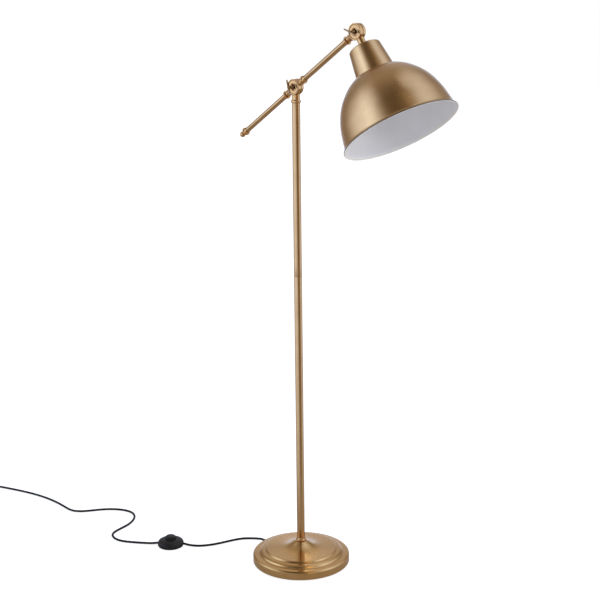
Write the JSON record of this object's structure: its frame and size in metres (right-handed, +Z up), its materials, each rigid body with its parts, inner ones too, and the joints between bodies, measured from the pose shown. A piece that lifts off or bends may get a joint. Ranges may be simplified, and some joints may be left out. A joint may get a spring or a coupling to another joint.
{
  "type": "pharmacy floor lamp",
  "caption": "Pharmacy floor lamp with a weighted round base, slim pole, counterbalanced arm on wing-screw friction joints, bell shade and in-line foot switch.",
  "frame": {"origin": "centre of the base's resting face, on the pole's axis", "axes": "+Z up the pole, +X towards the shade along the arm's plane, -Y the side the wing screws face"},
  "size_m": [1.5584, 0.5764, 1.3729],
  "materials": {
    "satin_brass": "satin, finely brushed along its length",
    "cast_brass": "satin, turned",
    "zinc_steel": "plain zinc plated",
    "iron": "as cast, painted dark",
    "pad": "matt sheet",
    "fibre": "plain",
    "black_cord": "smooth, slightly glossy",
    "black_plastic": "fine moulded texture",
    "white_moulding": "smooth",
    "inner_lead": "smooth",
    "nickel": "bright plated"
  },
  "bodies": {
    "stand": {"base_cover": "satin_brass", "base_weight": "iron", "base_pad": "pad", "base_spacer": "zinc_steel", "base_nipple": "zinc_steel", "base_washer": "zinc_steel", "base_nut": "zinc_steel", "base_collar": "cast_brass", "cord_strain_relief": "black_cord", "lead_base": "inner_lead", "pole_lower": "satin_brass", "pole_foot_bush": "zinc_steel", "pole_coupler": "zinc_steel", "pole_upper": "satin_brass", "pole_top_collar": "cast_brass", "lead_pole": "inner_lead", "pole_knuckle": "cast_brass", "lower_clamp_nut": "zinc_steel", "lower_friction_washer": "fibre", "switch_base": "black_plastic", "switch_cover": "black_plastic", "switch_spring": "zinc_steel", "switch_contact_block": "white_moulding", "switch_screw_left": "zinc_steel", "switch_screw_right": "zinc_steel", "cord_lamp_to_switch": "black_cord", "cord_switch_to_coil": "black_cord", "cord_coil": "black_cord", "cord_coil_to_plug": "black_cord", "coil_tie": "black_plastic", "plug_body": "black_plastic", "plug_pin_a": "nickel", "plug_pin_b": "nickel"},
    "arm": {"arm_knuckle": "cast_brass", "arm_collar_inner": "cast_brass", "arm_rod": "satin_brass", "arm_collar_outer": "cast_brass", "arm_collar_tail": "cast_brass", "tail_rod": "satin_brass", "finial_collar": "cast_brass", "finial": "cast_brass", "lead_arm": "inner_lead", "arm_end_knuckle": "cast_brass", "upper_clamp_nut": "zinc_steel", "upper_friction_washer": "fibre"},
    "shade": {"shade_knuckle": "cast_brass", "shade_nipple": "zinc_steel", "shade_cap": "satin_brass", "shade_locknut": "zinc_steel", "lamp_holder": "white_moulding", "socket_shell": "nickel", "centre_contact": "nickel", "shade_ring": "white_moulding", "lead_shade": "inner_lead", "shade_dome": "satin_brass"},
    "lower_wing": {"lower_wing_screw": "cast_brass", "lower_wing_stud": "zinc_steel"},
    "upper_wing": {"upper_wing_screw": "cast_brass", "upper_wing_stud": "zinc_steel"},
    "foot_button": {"switch_button": "black_plastic"}
  },
  "joints": [
    {"name": "arm_tilt", "type": "hinge", "parent": "stand", "child": "arm", "pos_m": [0, 0, 1.2218], "axis": [0, -1, 0], "range_deg": [-40, 4]},
    {"name": "shade_tilt", "type": "hinge", "parent": "arm", "child": "shade", "pos_m": [0.20455, 0, 1.35372], "axis": [0, -1, 0], "range_deg": [-15, 80]},
    {"name": "lower_wing_turn", "type": "hinge", "parent": "stand", "child": "lower_wing", "pos_m": [0, 0, 1.2218], "axis": [0, 1, 0], "range_deg": [0, 270]},
    {"name": "upper_wing_turn", "type": "hinge", "parent": "arm", "child": "upper_wing", "pos_m": [0.20455, 0, 1.35372], "axis": [0, 1, 0], "range_deg": [0, 270]},
    {"name": "foot_button_press", "type": "slide", "parent": "stand", "child": "foot_button", "axis": [0, 0, -1], "range_m": [0, 0.003], "stiffness_N_per_m": 900, "springref_m": -0.002}
  ]
}
